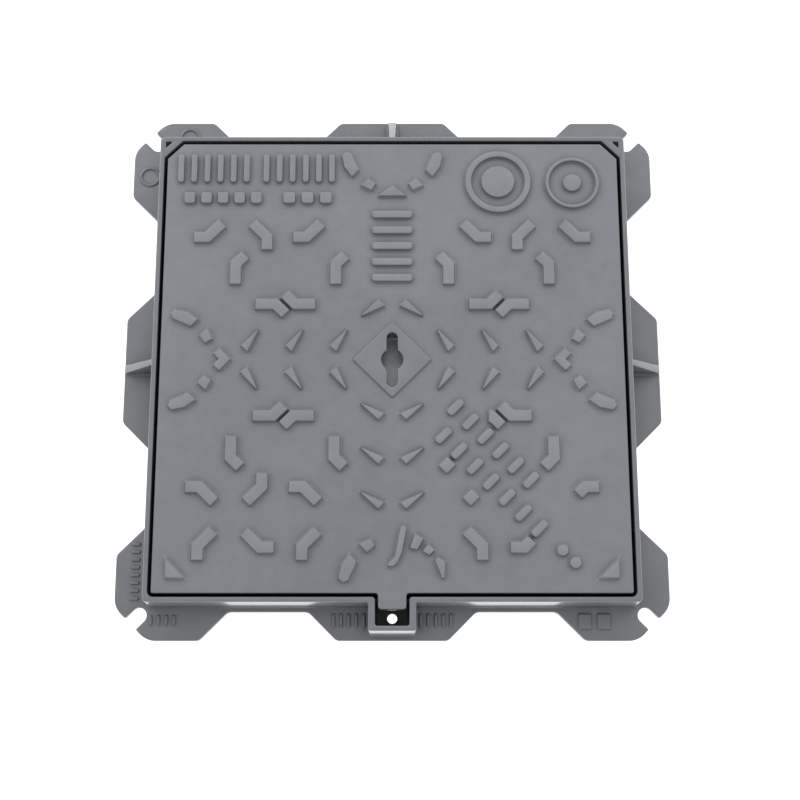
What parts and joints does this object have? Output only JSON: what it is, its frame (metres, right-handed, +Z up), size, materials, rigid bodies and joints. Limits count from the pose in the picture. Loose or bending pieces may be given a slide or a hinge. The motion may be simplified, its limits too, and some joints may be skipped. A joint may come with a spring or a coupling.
{
  "type": "manhole cover",
  "caption": "Square cast-iron manhole cover: a lift-off lid with raised anti-slip treads and a blind key slot, seated on a rubber seal in a lobed, flanged frame with a pry pocket.",
  "frame": {"origin": "centre of the base plane the frame stands on", "axes": "+X to the right and +Y to the rear with the pry pocket at the front (-Y), +Z up, the way the lid lifts"},
  "size_m": [0.5, 0.5, 0.047],
  "materials": {
    "frame_iron": "cast surface under a satin dark-grey coat",
    "lid_iron": "cast surface under a satin mid-grey coat",
    "seal_rubber": "matt black rubber",
    "cup_steel": "pressed zinc-plated steel"
  },
  "bodies": {
    "frame_body": {"frame": "frame_iron", "seal": "seal_rubber"},
    "lid_body": {"lid": "lid_iron", "key_cup": "cup_steel"}
  },
  "joints": [
    {"name": "lid_lift", "type": "slide", "parent": "frame_body", "child": "lid_body", "axis": [0, 0, 1], "range_m": [0, 0.15]}
  ]
}
